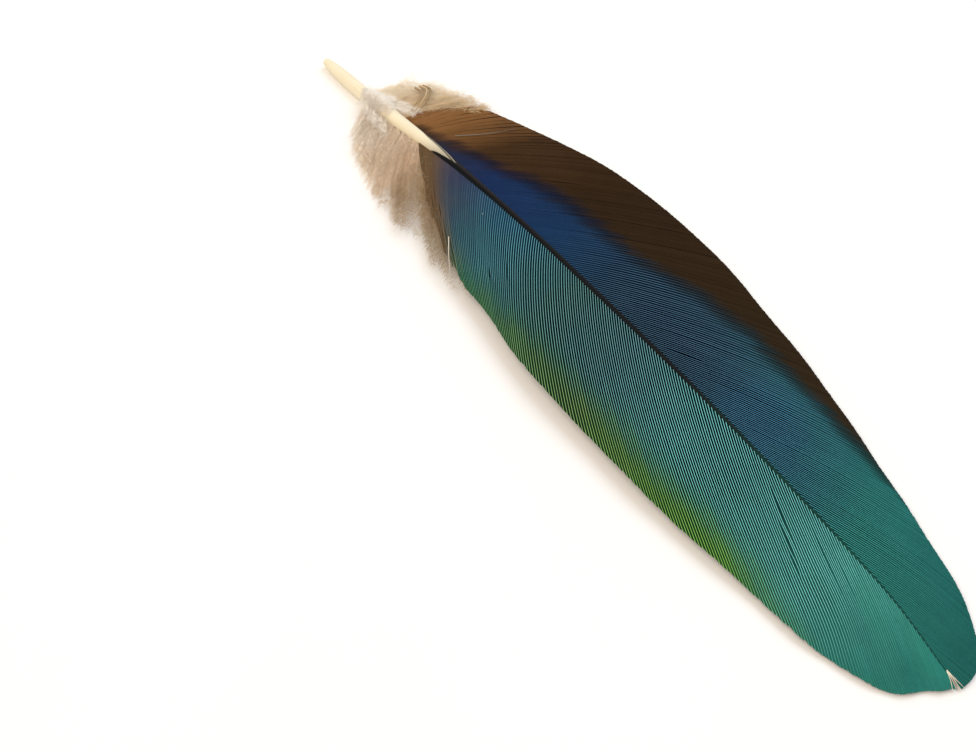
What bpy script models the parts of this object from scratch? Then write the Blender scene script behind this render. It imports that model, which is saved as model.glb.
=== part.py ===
"""Macaw covert feather, lying with its coloured side up on a level surface.

The feather grew as one piece, so it is one solid: the shaft, the two vanes and
the locks of down at the base are fused together.  Lengths in the tables are
millimetres.  A place on the feather is told by its distance s along the shaft
from the quill end and by its distance v across, which is below zero on the
narrow outer vane and above zero on the wide inner vane.
"""
import math
import random

import bmesh
import bpy
import numpy as np

MM = 0.001

# Whole feather, quill end to the tips of the last barbs.
LENGTH = 95.6
# Centre line of the shaft: s, sideways bow, height of the centre above the surface.
SHAFT_LINE = (
    (0.0, -1.1, 0.62),
    (2.0, -1.0, 0.62),
    (7.0, -0.73, 0.7),
    (14.0, -0.38, 1.3),
    (22.0, -0.02, 2.2),
    (32.0, 0.1, 3.15),
    (45.0, 0.15, 3.85),
    (58.0, 0.42, 3.75),
    (70.0, 0.78, 2.95),
    (82.0, 1.05, 1.75),
    (88.0, 0.95, 1.12),
    (94.1, 0.15, 0.52),
)
# Half width of the shaft along s, and how much deeper than wide it is.
SHAFT_SIZE = (
    (0.0, 0.46, 1.0),
    (1.5, 0.66, 1.0),
    (6.0, 0.83, 1.0),
    (14.0, 0.82, 1.0),
    (20.0, 0.66, 1.05),
    (27.0, 0.5, 1.15),
    (43.0, 0.39, 1.25),
    (60.0, 0.31, 1.25),
    (75.0, 0.23, 1.2),
    (88.0, 0.15, 1.1),
    (94.1, 0.09, 1.0),
)
SHAFT_RINGS = 34
SHAFT_SIDES = 12
GROOVE_START = 20.0
GROOVE_DEPTH = 0.3
HOLE_RADIUS = 0.26
HOLE_DEPTH = 1.1

# Each vane: s where a barb leaves the shaft, then s, v and height of its tip.
OUTER_VANE = (
    (19.4, 30.4, 6.0, 1.4),
    (23.0, 36.6, 8.0, 1.6),
    (31.0, 43.6, 8.75, 1.75),
    (38.0, 51.2, 9.6, 1.8),
    (48.5, 65.8, 9.65, 1.4),
    (61.5, 80.8, 8.5, 0.8),
    (68.0, 87.0, 7.8, 0.55),
    (74.0, 91.6, 6.1, 0.42),
    (80.0, 93.5, 4.1, 0.4),
    (86.5, 94.4, 2.3, 0.4),
    (91.5, 95.0, 1.1, 0.4),
    (93.7, 95.4, 0.5, 0.4),
)
INNER_VANE = (
    (16.4, 17.0, 6.2, 0.6),
    (19.0, 21.8, 10.6, 0.5),
    (24.0, 32.6, 14.2, 0.42),
    (31.0, 42.4, 15.6, 0.4),
    (38.0, 50.6, 15.45, 0.4),
    (44.5, 59.4, 14.0, 0.4),
    (51.0, 67.4, 12.3, 0.4),
    (63.0, 79.6, 8.75, 0.4),
    (74.0, 89.0, 5.95, 0.4),
    (80.0, 92.4, 4.6, 0.4),
    (86.0, 94.6, 2.8, 0.4),
    (91.5, 95.4, 1.3, 0.4),
    (93.7, 95.6, 0.45, 0.4),
)
# How straight the barbs are: 1 is a straight line, less sweeps to the tip.
OUTER_BEND = 0.72
INNER_BEND = 0.95
VANE_ROWS = 64
VANE_COLUMNS = 6
ROOT_THICKNESS = 0.52
TIP_THICKNESS = 0.4
ROOT_INSET = 0.35
CAMBER = 0.42
RIB_HEIGHT = 0.09

# Locks of down: s of the root on the shaft, then s and v of the tip.
OUTER_DOWN = (
    (11.0, 13.2, 2.6),
    (13.0, 16.8, 4.6),
    (15.0, 20.4, 6.0),
    (17.0, 24.4, 7.5),
    (19.5, 29.0, 8.8),
    (22.5, 33.6, 9.6),
)
INNER_DOWN = (
    (10.6, 12.0, 3.4),
    (12.4, 13.8, 6.4),
    (14.4, 16.4, 8.9),
    (16.4, 19.6, 11.0),
    (19.0, 24.6, 12.9),
    (22.0, 29.6, 14.2),
)
LOCKS_A_SIDE = 14
LOCK_BEND = 0.45
LOCK_RINGS = 7
LOCK_SIDES = 6
LOCK_JITTER = 0.9
# Half width and half height of a lock from root to tip.
LOCK_SIZE = (
    (0.0, 0.3, 0.3),
    (0.45, 0.78, 0.3),
    (0.8, 0.48, 0.22),
    (1.0, 0.14, 0.12),
)
LOCK_FLOOR = 0.32


def smooth(table, column, where):
    """Reads one column of a table along its first column, as a smooth curve."""
    x = np.array([row[0] for row in table])
    y = np.array([row[column] for row in table])
    secant = np.diff(y) / np.diff(x)
    slope = np.concatenate([secant[:1], (secant[1:] + secant[:-1]) / 2, secant[-1:]])
    turn = np.concatenate([[False], secant[1:] * secant[:-1] <= 0, [False]])
    slope[turn] = 0.0
    where = np.clip(np.asarray(where, float), x[0], x[-1])
    i = np.clip(np.searchsorted(x, where, side="right") - 1, 0, len(x) - 2)
    step = x[i + 1] - x[i]
    t = (where - x[i]) / step
    start = (1 + 2 * t) * (1 - t) ** 2 * y[i] + t * (1 - t) ** 2 * step * slope[i]
    end = t * t * (3 - 2 * t) * y[i + 1] + t * t * (t - 1) * step * slope[i + 1]
    return start + end


def place(s, v, z):
    """Turns distances along and across the feather into a point in millimetres."""
    bow = float(smooth(SHAFT_LINE, 1, s))
    lean = (float(smooth(SHAFT_LINE, 1, s + 0.5)) - float(smooth(SHAFT_LINE, 1, s - 0.5)))
    return (s - v * lean, bow + v, z)


def add_solid(name, points, faces):
    """Makes one closed object from points and faces, with its faces outward."""
    mesh = bpy.data.meshes.new(name)
    mesh.from_pydata(points, [], faces)
    work = bmesh.new()
    work.from_mesh(mesh)
    bmesh.ops.recalc_face_normals(work, faces=work.faces)
    work.to_mesh(mesh)
    work.free()
    solid = bpy.data.objects.new(name, mesh)
    bpy.context.collection.objects.link(solid)
    return solid


def tube_faces(rings, sides):
    """Lists the side faces of a tube whose rings follow each other in order."""
    faces = []
    for ring in range(rings - 1):
        for side in range(sides):
            after = (side + 1) % sides
            low, high = ring * sides, (ring + 1) * sides
            faces.append((low + side, low + after, high + after, high + side))
    return faces


def shaft_ring(s, radius, depth, groove):
    """Gives one ring of the shaft, with the groove pressed into its underside."""
    height = float(smooth(SHAFT_LINE, 2, s))
    ring = []
    for side in range(SHAFT_SIDES):
        turn = 2 * math.pi * side / SHAFT_SIDES - math.pi / 2
        across = radius * math.cos(turn)
        up = radius * depth * math.sin(turn)
        if side == 0:
            up *= 1 - groove
        ring.append(place(s, across, max(0.0, height + up)))
    return ring


def make_shaft():
    """Makes the hollow-ended quill and the rachis as one tapering tube."""
    points = []
    end = SHAFT_LINE[-1][0]
    for s in (HOLE_DEPTH, 0.0):
        points += shaft_ring(s, HOLE_RADIUS, 1.0, 0.0)
    for number in range(SHAFT_RINGS):
        share = number / (SHAFT_RINGS - 1)
        s = end * (0.35 * share * share + 0.65 * share)
        groove = GROOVE_DEPTH * min(1.0, max(0.0, (s - GROOVE_START) / 8))
        radius = float(smooth(SHAFT_SIZE, 1, s))
        depth = float(smooth(SHAFT_SIZE, 2, s))
        points += shaft_ring(s, radius, depth, groove)
    faces = tube_faces(SHAFT_RINGS + 2, SHAFT_SIDES)
    last = (SHAFT_RINGS + 1) * SHAFT_SIDES
    faces.append(tuple(range(SHAFT_SIDES)))
    faces.append(tuple(range(last, last + SHAFT_SIDES)))
    return add_solid("shaft", points, faces)


def make_vane(name, side, table, bend):
    """Makes one vane: rows follow the barbs, columns go from shaft to margin."""
    tops, bottoms = [], []
    roots = np.linspace(table[0][0], table[-1][0], VANE_ROWS)
    for row, root in enumerate(roots):
        tip_s, tip_v, tip_z = (float(smooth(table, column, root)) for column in (1, 2, 3))
        inset = ROOT_INSET * float(smooth(SHAFT_SIZE, 1, root))
        root_z = float(smooth(SHAFT_LINE, 2, root)) + inset * 0.3 + ROOT_THICKNESS / 4
        for column in range(VANE_COLUMNS):
            u = column / (VANE_COLUMNS - 1)
            s = root + (tip_s - root) * (bend * u + (1 - bend) * u * u)
            v = side * (inset + (tip_v - inset) * u)
            z = root_z + (tip_z - root_z) * (CAMBER * u + (1 - CAMBER) * u * u)
            thick = ROOT_THICKNESS + (TIP_THICKNESS - ROOT_THICKNESS) * u
            thick = min(thick, 1.1 * float(smooth(SHAFT_SIZE, 1, root)) + 0.25 * u + 0.12)
            rib = RIB_HEIGHT * (row % 2) if 0 < column < VANE_COLUMNS - 1 else 0.0
            tops.append(place(s, v, z + rib))
            bottoms.append(place(s, v, max(0.0, z - thick)))
    count = len(tops)
    faces = []
    for row in range(VANE_ROWS - 1):
        for column in range(VANE_COLUMNS - 1):
            a = row * VANE_COLUMNS + column
            b = a + VANE_COLUMNS
            faces.append((a, a + 1, b + 1))
            faces.append((a, b + 1, b))
            faces.append((count + a, count + b, count + b + 1))
            faces.append((count + a, count + b + 1, count + a + 1))
    for row in range(VANE_ROWS - 1):
        for column in (0, VANE_COLUMNS - 1):
            a = row * VANE_COLUMNS + column
            b = a + VANE_COLUMNS
            faces.append((a, b, count + b, count + a))
    for row in (0, VANE_ROWS - 1):
        for column in range(VANE_COLUMNS - 1):
            a = row * VANE_COLUMNS + column
            faces.append((a, a + 1, count + a + 1, count + a))
    return add_solid(name, tops + bottoms, faces)


def make_lock(name, side, root, tip_s, tip_v):
    """Makes one flat lock of down, which widens and then runs out to a point."""
    start_z = float(smooth(SHAFT_LINE, 2, root))
    points = []
    for ring in range(LOCK_RINGS):
        u = ring / (LOCK_RINGS - 1)
        run = tip_s - root
        s = root + run * (LOCK_BEND * u + (1 - LOCK_BEND) * u * u)
        v = side * tip_v * (0.02 + 0.98 * u)
        heading = math.atan2(tip_v, run * (LOCK_BEND + 2 * (1 - LOCK_BEND) * u))
        z = start_z + (LOCK_FLOOR - start_z) * min(1.0, 1.5 * u)
        half_width = float(smooth(LOCK_SIZE, 1, u))
        half_height = float(smooth(LOCK_SIZE, 2, u))
        for edge in range(LOCK_SIDES):
            turn = 2 * math.pi * edge / LOCK_SIDES
            across = half_width * math.cos(turn)
            up = half_height * math.sin(turn)
            ring_s = s - across * math.sin(heading)
            ring_v = v + side * across * math.cos(heading)
            points.append(place(ring_s, ring_v, z + up))
    faces = tube_faces(LOCK_RINGS, LOCK_SIDES)
    last = (LOCK_RINGS - 1) * LOCK_SIDES
    faces.append(tuple(range(LOCK_SIDES)))
    faces.append(tuple(range(last, last + LOCK_SIDES)))
    return add_solid(name, points, faces)


def make_down(side, table):
    """Makes the row of locks on one side of the shaft's base."""
    locks = []
    for number in range(LOCKS_A_SIDE):
        share = number / (LOCKS_A_SIDE - 1)
        root = table[0][0] + share * (table[-1][0] - table[0][0])
        tip_s = float(smooth(table, 1, root)) + LOCK_JITTER * random.uniform(-1, 1)
        tip_v = float(smooth(table, 2, root)) + 0.6 * LOCK_JITTER * random.uniform(-1, 0.6)
        locks.append(make_lock("lock", side, root, tip_s, tip_v))
    return locks


def fuse(base, added):
    """Joins all the added solids into the base in one step, and removes them."""
    group = bpy.data.collections.new("added")
    for solid in added:
        group.objects.link(solid)
    union = base.modifiers.new("union", "BOOLEAN")
    union.operation = "UNION"
    union.solver = "EXACT"
    union.operand_type = "COLLECTION"
    union.collection = group
    graph = bpy.context.evaluated_depsgraph_get()
    fused = bpy.data.meshes.new_from_object(base.evaluated_get(graph))
    base.modifiers.clear()
    base.data = fused
    for solid in added:
        bpy.data.objects.remove(solid)
    bpy.data.collections.remove(group)


def fill_pockets(solid):
    """Keeps the outer skin only, so that pockets closed in by locks become solid."""
    work = bmesh.new()
    work.from_mesh(solid.data)
    left = set(work.verts)
    skins = []
    while left:
        front = [left.pop()]
        skin = set(front)
        while front:
            corner = front.pop()
            near = {edge.other_vert(corner) for edge in corner.link_edges} - skin
            skin |= near
            left -= near
            front.extend(near)
        skins.append(skin)
    skins.sort(key=len, reverse=True)
    for skin in skins[1:]:
        bmesh.ops.delete(work, geom=list(skin), context="VERTS")
    work.to_mesh(solid.data)
    work.free()


def stand_on_origin(solid):
    """Puts the middle of the footprint on the origin, and goes over to metres."""
    points = np.array([corner.co[:] for corner in solid.data.vertices])
    low, high = points.min(axis=0), points.max(axis=0)
    shift = (-(low[0] + high[0]) / 2, -(low[1] + high[1]) / 2, -low[2])
    for corner in solid.data.vertices:
        corner.co = [(corner.co[axis] + shift[axis]) * MM for axis in range(3)]


def make_material():
    """Gives the dry, slightly silky horn of the feather one plain colour."""
    material = bpy.data.materials.new("feather_keratin")
    material.use_nodes = True
    shader = material.node_tree.nodes["Principled BSDF"]
    shader.inputs["Base Color"].default_value = (0.035, 0.135, 0.17, 1.0)
    shader.inputs["Roughness"].default_value = 0.55
    shader.inputs["Metallic"].default_value = 0.0
    return material


def main():
    """Builds the feather in an empty scene."""
    for item in list(bpy.data.objects):
        bpy.data.objects.remove(item, do_unlink=True)
    random.seed(1)
    feather = make_shaft()
    growth = [
        make_vane("outer", -1, OUTER_VANE, OUTER_BEND),
        make_vane("inner", 1, INNER_VANE, INNER_BEND),
    ]
    growth += make_down(-1, OUTER_DOWN)
    growth += make_down(1, INNER_DOWN)
    fuse(feather, growth)
    fill_pockets(feather)
    stand_on_origin(feather)
    feather.name = "feather"
    feather.data.name = "feather"
    feather.data.materials.clear()
    feather.data.materials.append(make_material())
    for face in feather.data.polygons:
        face.use_smooth = False


main()
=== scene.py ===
"""Macaw covert feather, lying coloured side up on a pale floor.

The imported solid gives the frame.  It is replaced by a shaft, two vanes of
separate barbs, the down at the base and a few loose barbs.  A place on the
feather is told in millimetres by s, the distance along the shaft from the quill
end, and by v, the distance across from the shaft's middle, below zero on the
narrow outer vane and above zero on the wide inner vane.
"""

import logging
import math
from dataclasses import dataclass, field
from enum import Enum

import bpy
import numpy as np
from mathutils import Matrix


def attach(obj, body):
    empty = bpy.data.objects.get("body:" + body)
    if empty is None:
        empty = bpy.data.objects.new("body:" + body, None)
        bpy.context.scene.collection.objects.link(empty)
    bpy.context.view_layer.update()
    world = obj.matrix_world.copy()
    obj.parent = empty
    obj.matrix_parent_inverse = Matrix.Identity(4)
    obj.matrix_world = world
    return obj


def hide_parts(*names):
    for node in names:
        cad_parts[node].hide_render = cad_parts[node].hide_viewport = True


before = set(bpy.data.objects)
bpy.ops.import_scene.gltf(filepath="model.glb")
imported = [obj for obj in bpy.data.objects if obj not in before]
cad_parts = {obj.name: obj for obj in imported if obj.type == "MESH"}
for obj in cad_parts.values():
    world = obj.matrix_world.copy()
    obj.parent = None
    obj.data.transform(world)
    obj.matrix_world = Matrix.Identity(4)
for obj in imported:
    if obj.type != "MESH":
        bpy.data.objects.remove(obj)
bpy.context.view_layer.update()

LOG = logging.getLogger("feather")
NODE = "feather"
MM = 0.001
LENGTH = 95.6
Rows = tuple[tuple[float, ...], ...]
Colour = tuple[float, float, float]
Stops = tuple[tuple[float, Colour], ...]
Socket = bpy.types.NodeSocket
Value = Socket | float


class Side(Enum):
    """The two sides of the shaft, with the sign of v on each."""

    OUTER = -1
    INNER = 1


def smooth(rows: Rows, column: int, where: np.ndarray | float) -> np.ndarray:
    """Reads one column of a table as a smooth curve over its first column.

    Args:
        rows: The table, with rising values in its first column.
        column: The column to read.
        where: Places along the first column.

    Returns:
        The curve's values at those places.
    """
    x = np.array([row[0] for row in rows])
    y = np.array([row[column] for row in rows])
    secant = np.diff(y) / np.diff(x)
    slope = np.concatenate([secant[:1], (secant[1:] + secant[:-1]) / 2, secant[-1:]])
    turn = np.concatenate([[False], secant[1:] * secant[:-1] <= 0, [False]])
    slope[turn] = 0.0
    where = np.clip(np.asarray(where, float), x[0], x[-1])
    i = np.clip(np.searchsorted(x, where, side="right") - 1, 0, len(x) - 2)
    step = x[i + 1] - x[i]
    t = (where - x[i]) / step
    start = (1 + 2 * t) * (1 - t) ** 2 * y[i] + t * (1 - t) ** 2 * step * slope[i]
    end = t * t * (3 - 2 * t) * y[i + 1] + t * t * (t - 1) * step * slope[i + 1]
    return start + end


def ease(low: float, high: float, value: np.ndarray) -> np.ndarray:
    """Gives a soft step from 0 at low to 1 at high."""
    t = np.clip((value - low) / (high - low), 0.0, 1.0)
    return t * t * (3 - 2 * t)


def unit(vectors: np.ndarray) -> np.ndarray:
    """Scales vectors to a length of one."""
    length = np.linalg.norm(vectors, axis=-1, keepdims=True)
    return vectors / np.maximum(length, 1e-9)


def srgb(red: int, green: int, blue: int) -> Colour:
    """Turns a colour from screen values to the linear ones that shaders use."""
    parts = []
    for part in (red, green, blue):
        share = part / 255
        parts.append(share / 12.92 if share <= 0.04045 else ((share + 0.055) / 1.055) ** 2.4)
    return tuple(parts)


def greys(*stops: tuple[float, float]) -> Stops:
    """Turns places with numbers into places with greys."""
    return tuple((place, (value, value, value)) for place, value in stops)


@dataclass(frozen=True)
class FeatherForm:
    """The sizes that every piece shares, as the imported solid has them."""

    shift: tuple[float, float] = (-47.7943, -3.2176)
    shaft_line: Rows = (
        (0.0, -1.1, 0.62),
        (2.0, -1.0, 0.62),
        (7.0, -0.73, 0.7),
        (14.0, -0.38, 1.3),
        (22.0, -0.02, 2.2),
        (32.0, 0.1, 3.15),
        (45.0, 0.15, 3.85),
        (58.0, 0.42, 3.75),
        (70.0, 0.78, 2.95),
        (82.0, 1.05, 1.75),
        (88.0, 0.95, 1.12),
        (94.1, 0.15, 0.52),
        (96.1, -0.11, 0.33),
    )
    shaft_size: Rows = (
        (0.0, 0.46, 1.0),
        (1.5, 0.66, 1.0),
        (6.0, 0.83, 1.0),
        (14.0, 0.82, 1.0),
        (20.0, 0.66, 1.05),
        (27.0, 0.5, 1.15),
        (43.0, 0.39, 1.25),
        (60.0, 0.31, 1.25),
        (75.0, 0.23, 1.2),
        (88.0, 0.15, 1.1),
        (94.1, 0.09, 1.0),
    )

    def place(self, s: np.ndarray, v: np.ndarray, z: np.ndarray) -> np.ndarray:
        """Turns distances along and across the feather into points of the frame.

        Args:
            s: Distances along the shaft.
            v: Distances across it.
            z: Heights above the floor.

        Returns:
            Points in metres, with x, y and z on the last axis.
        """
        bow = smooth(self.shaft_line, 1, s)
        lean = smooth(self.shaft_line, 1, s + 0.5) - smooth(self.shaft_line, 1, s - 0.5)
        x = s - v * lean + self.shift[0]
        y = bow + v + self.shift[1]
        return np.stack(np.broadcast_arrays(x, y, z), axis=-1) * MM

    def height(self, s: np.ndarray | float) -> np.ndarray:
        """Gives the height of the shaft's middle."""
        return smooth(self.shaft_line, 2, s)

    def radius(self, s: np.ndarray | float) -> np.ndarray:
        """Gives half the width of the shaft."""
        return smooth(self.shaft_size, 1, s)


FORM = FeatherForm()


@dataclass
class Skin:
    """Points, faces and per-point values that together become one mesh."""

    points: list[np.ndarray] = field(default_factory=list)
    faces: list[np.ndarray] = field(default_factory=list)
    finish: list[np.ndarray] = field(default_factory=list)
    values: dict[str, list[np.ndarray]] = field(default_factory=dict)
    count: int = 0

    def add(self, points: np.ndarray, faces: np.ndarray, finish: np.ndarray | int = 0,
            **values: np.ndarray | float) -> None:
        """Adds points and faces.

        Args:
            points: The new points, with x, y and z on the last axis, in metres.
            faces: Rows of four corners; a repeated last corner makes a triangle.
            finish: The number of the finish for each face, or one for all.
            **values: A value for each new point, by name.
        """
        points = points.reshape(-1, 3)
        self.points.append(points)
        self.faces.append(faces + self.count)
        self.finish.append(np.broadcast_to(finish, len(faces)).astype(int))
        for name, value in values.items():
            flat = np.ravel(value) if np.ndim(value) else value
            self.values.setdefault(name, []).append(np.broadcast_to(flat, len(points)))
        self.count += len(points)

    def build(self, name: str, finishes: list[bpy.types.Material],
              sharp: float = 50.0) -> bpy.types.Object:
        """Makes the object, rides it on the body and puts it in the solid's place.

        Args:
            name: The piece's name.
            finishes: The materials, in the order of the finish numbers.
            sharp: Edges that turn by more than this many degrees stay crisp.

        Returns:
            The new object.
        """
        mesh = bpy.data.meshes.new(name)
        corners = np.concatenate(self.faces).tolist()
        corners = [row[:3] if row[2] == row[3] else row for row in corners]
        mesh.from_pydata(np.concatenate(self.points).tolist(), [], corners)
        mesh.polygons.foreach_set("material_index", np.concatenate(self.finish))
        for label, parts in self.values.items():
            layer = mesh.attributes.new(label, "FLOAT", "POINT")
            layer.data.foreach_set("value", np.concatenate(parts).astype(np.float32))
        for material in finishes:
            mesh.materials.append(material)
        mesh.shade_smooth()
        mesh.set_sharp_from_angle(angle=math.radians(sharp))
        piece = bpy.data.objects.new(name, mesh)
        bpy.context.scene.collection.objects.link(piece)
        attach(piece, "root")
        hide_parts(NODE)
        LOG.info("%s: %d triangles", name, sum(len(row) - 2 for row in corners))
        return piece


def tube_faces(strands: int, rings: int, sides: int) -> np.ndarray:
    """Lists the faces of closed tubes whose points follow strand, ring, side.

    Args:
        strands: How many tubes there are.
        rings: Rings in each tube.
        sides: Points in each ring.

    Returns:
        Rows of four corners: for each tube its walls ring by ring, then its ends.
    """
    ring, side = np.meshgrid(np.arange(rings - 1), np.arange(sides), indexing="ij")
    ring, side = ring.ravel(), side.ravel()
    after = (side + 1) % sides
    low, high = ring * sides, (ring + 1) * sides
    walls = np.stack([low + side, low + after, high + after, high + side], axis=1)
    last = (rings - 1) * sides
    ends = [[0, k + 1, k, k] for k in range(1, sides - 1)]
    ends += [[last, last + k, last + k + 1, last + k + 1] for k in range(1, sides - 1)]
    one = np.concatenate([walls, np.array(ends)])
    offsets = np.arange(strands) * rings * sides
    return (one[None] + offsets[:, None, None]).reshape(-1, 4)


def strand_points(path: np.ndarray, radius: np.ndarray, sides: int) -> np.ndarray:
    """Wraps rings of points round paths.

    Args:
        path: Paths in metres, with strand, step and x, y, z as its axes.
        radius: Radius in metres for each step of each strand.
        sides: Points in each ring.

    Returns:
        Points with strand, step, side and x, y, z as their axes.
    """
    ahead = unit(np.gradient(path, axis=1))
    right = unit(np.cross(ahead, np.array([0.0, 0.0, 1.0])))
    up = np.cross(right, ahead)
    turn = np.arange(sides) * 2 * math.pi / sides
    ring = (right[:, :, None] * np.cos(turn)[None, None, :, None]
            - up[:, :, None] * np.sin(turn)[None, None, :, None])
    return path[:, :, None] + ring * radius[:, :, None, None]


class NodeDesk:
    """Lays out shader nodes with short calls."""

    def __init__(self, name: str) -> None:
        """Starts a material with a Principled shader."""
        self.material = bpy.data.materials.new(name)
        self.material.use_nodes = True
        self.tree = self.material.node_tree
        self.shader = self.tree.nodes["Principled BSDF"]

    def put(self, target: Socket, value: object) -> None:
        """Sets a socket to a number or colour, or links another socket to it.

        Args:
            target: The socket to feed.
            value: A number, a colour or another socket.
        """
        if isinstance(value, Socket):
            self.tree.links.new(value, target)
        elif isinstance(value, tuple) and target.type == "RGBA":
            target.default_value = (*value, 1.0)
        else:
            target.default_value = value

    def point(self, name: str) -> Socket:
        """Reads one of the mesh's per-point values."""
        node = self.tree.nodes.new("ShaderNodeAttribute")
        node.attribute_name = name
        return node.outputs["Fac"]

    def maths(self, kind: str, *values: Value) -> Socket:
        """Does one sum on numbers or sockets.

        Args:
            kind: The sum's name in the Math node.
            *values: One, two or three numbers or sockets.

        Returns:
            The socket with the result.
        """
        node = self.tree.nodes.new("ShaderNodeMath")
        node.operation = kind
        for socket, value in zip(node.inputs, values):
            self.put(socket, value)
        return node.outputs[0]

    def step(self, value: Value, low: Value, high: Value) -> Socket:
        """Gives a soft step from 0 at low to 1 at high.

        Args:
            value: What is compared.
            low: Where the step starts.
            high: Where it ends, which may be below its start.

        Returns:
            The socket with the result.
        """
        node = self.tree.nodes.new("ShaderNodeMapRange")
        node.interpolation_type = "SMOOTHSTEP"
        self.put(node.inputs["Value"], value)
        self.put(node.inputs["From Min"], low)
        self.put(node.inputs["From Max"], high)
        return node.outputs["Result"]

    def mix(self, share: Value, first: object, second: object,
            kind: str = "MIX") -> Socket:
        """Mixes two colours.

        Args:
            share: How much of the second colour there is.
            first: A colour or socket.
            second: A colour or socket.
            kind: The name of the blend.

        Returns:
            The socket with the result.
        """
        node = self.tree.nodes.new("ShaderNodeMix")
        node.data_type = "RGBA"
        node.blend_type = kind
        self.put(node.inputs[0], share)
        self.put(node.inputs[6], first)
        self.put(node.inputs[7], second)
        return node.outputs[2]

    def grey(self, light: Socket) -> Socket:
        """Turns a number into a grey."""
        node = self.tree.nodes.new("ShaderNodeCombineColor")
        for socket in node.inputs[:3]:
            self.put(socket, light)
        return node.outputs[0]

    def shaded(self, colour: object, light: Socket) -> Socket:
        """Multiplies a colour by a number."""
        return self.mix(1.0, colour, self.grey(light), "MULTIPLY")

    def ramp(self, value: Value, stops: Stops) -> Socket:
        """Turns a number into a colour.

        Args:
            value: The number, from 0 to 1.
            stops: Places with their colours, in rising order.

        Returns:
            The socket with the colour.
        """
        node = self.tree.nodes.new("ShaderNodeValToRGB")
        elements = node.color_ramp.elements
        elements[1].position, elements[0].position = stops[-1][0], stops[0][0]
        elements[0].color = (*stops[0][1], 1.0)
        elements[1].color = (*stops[-1][1], 1.0)
        for place, colour in stops[1:-1]:
            elements.new(place).color = (*colour, 1.0)
        self.put(node.inputs[0], value)
        return node.outputs[0]

    def noise(self, scale: float, detail: float = 2.0,
              stretch: tuple[float, float, float] = (1.0, 1.0, 1.0)) -> Socket:
        """Reads a noise that is fixed to the object.

        Args:
            scale: Waves per metre.
            detail: How many finer layers it has.
            stretch: Factors on the scale along x, y and z.

        Returns:
            The socket with the noise, around one half.
        """
        place = self.tree.nodes.new("ShaderNodeTexCoord")
        turn = self.tree.nodes.new("ShaderNodeMapping")
        turn.inputs["Scale"].default_value = stretch
        self.put(turn.inputs["Vector"], place.outputs["Object"])
        node = self.tree.nodes.new("ShaderNodeTexNoise")
        node.inputs["Scale"].default_value = scale
        node.inputs["Detail"].default_value = detail
        self.put(node.inputs["Vector"], turn.outputs[0])
        return node.outputs["Fac"]

    def sway(self, value: Value, noise: Socket, amount: float) -> Socket:
        """Moves a number up and down by a noise around one half."""
        return self.maths("MULTIPLY_ADD", self.maths("SUBTRACT", noise, 0.5), amount, value)

    def bump(self, height: Socket, strength: float, distance: float) -> None:
        """Presses a height into the surface."""
        node = self.tree.nodes.new("ShaderNodeBump")
        node.inputs["Strength"].default_value = strength
        node.inputs["Distance"].default_value = distance
        self.put(node.inputs["Height"], height)
        self.put(self.shader.inputs["Normal"], node.outputs[0])


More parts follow.
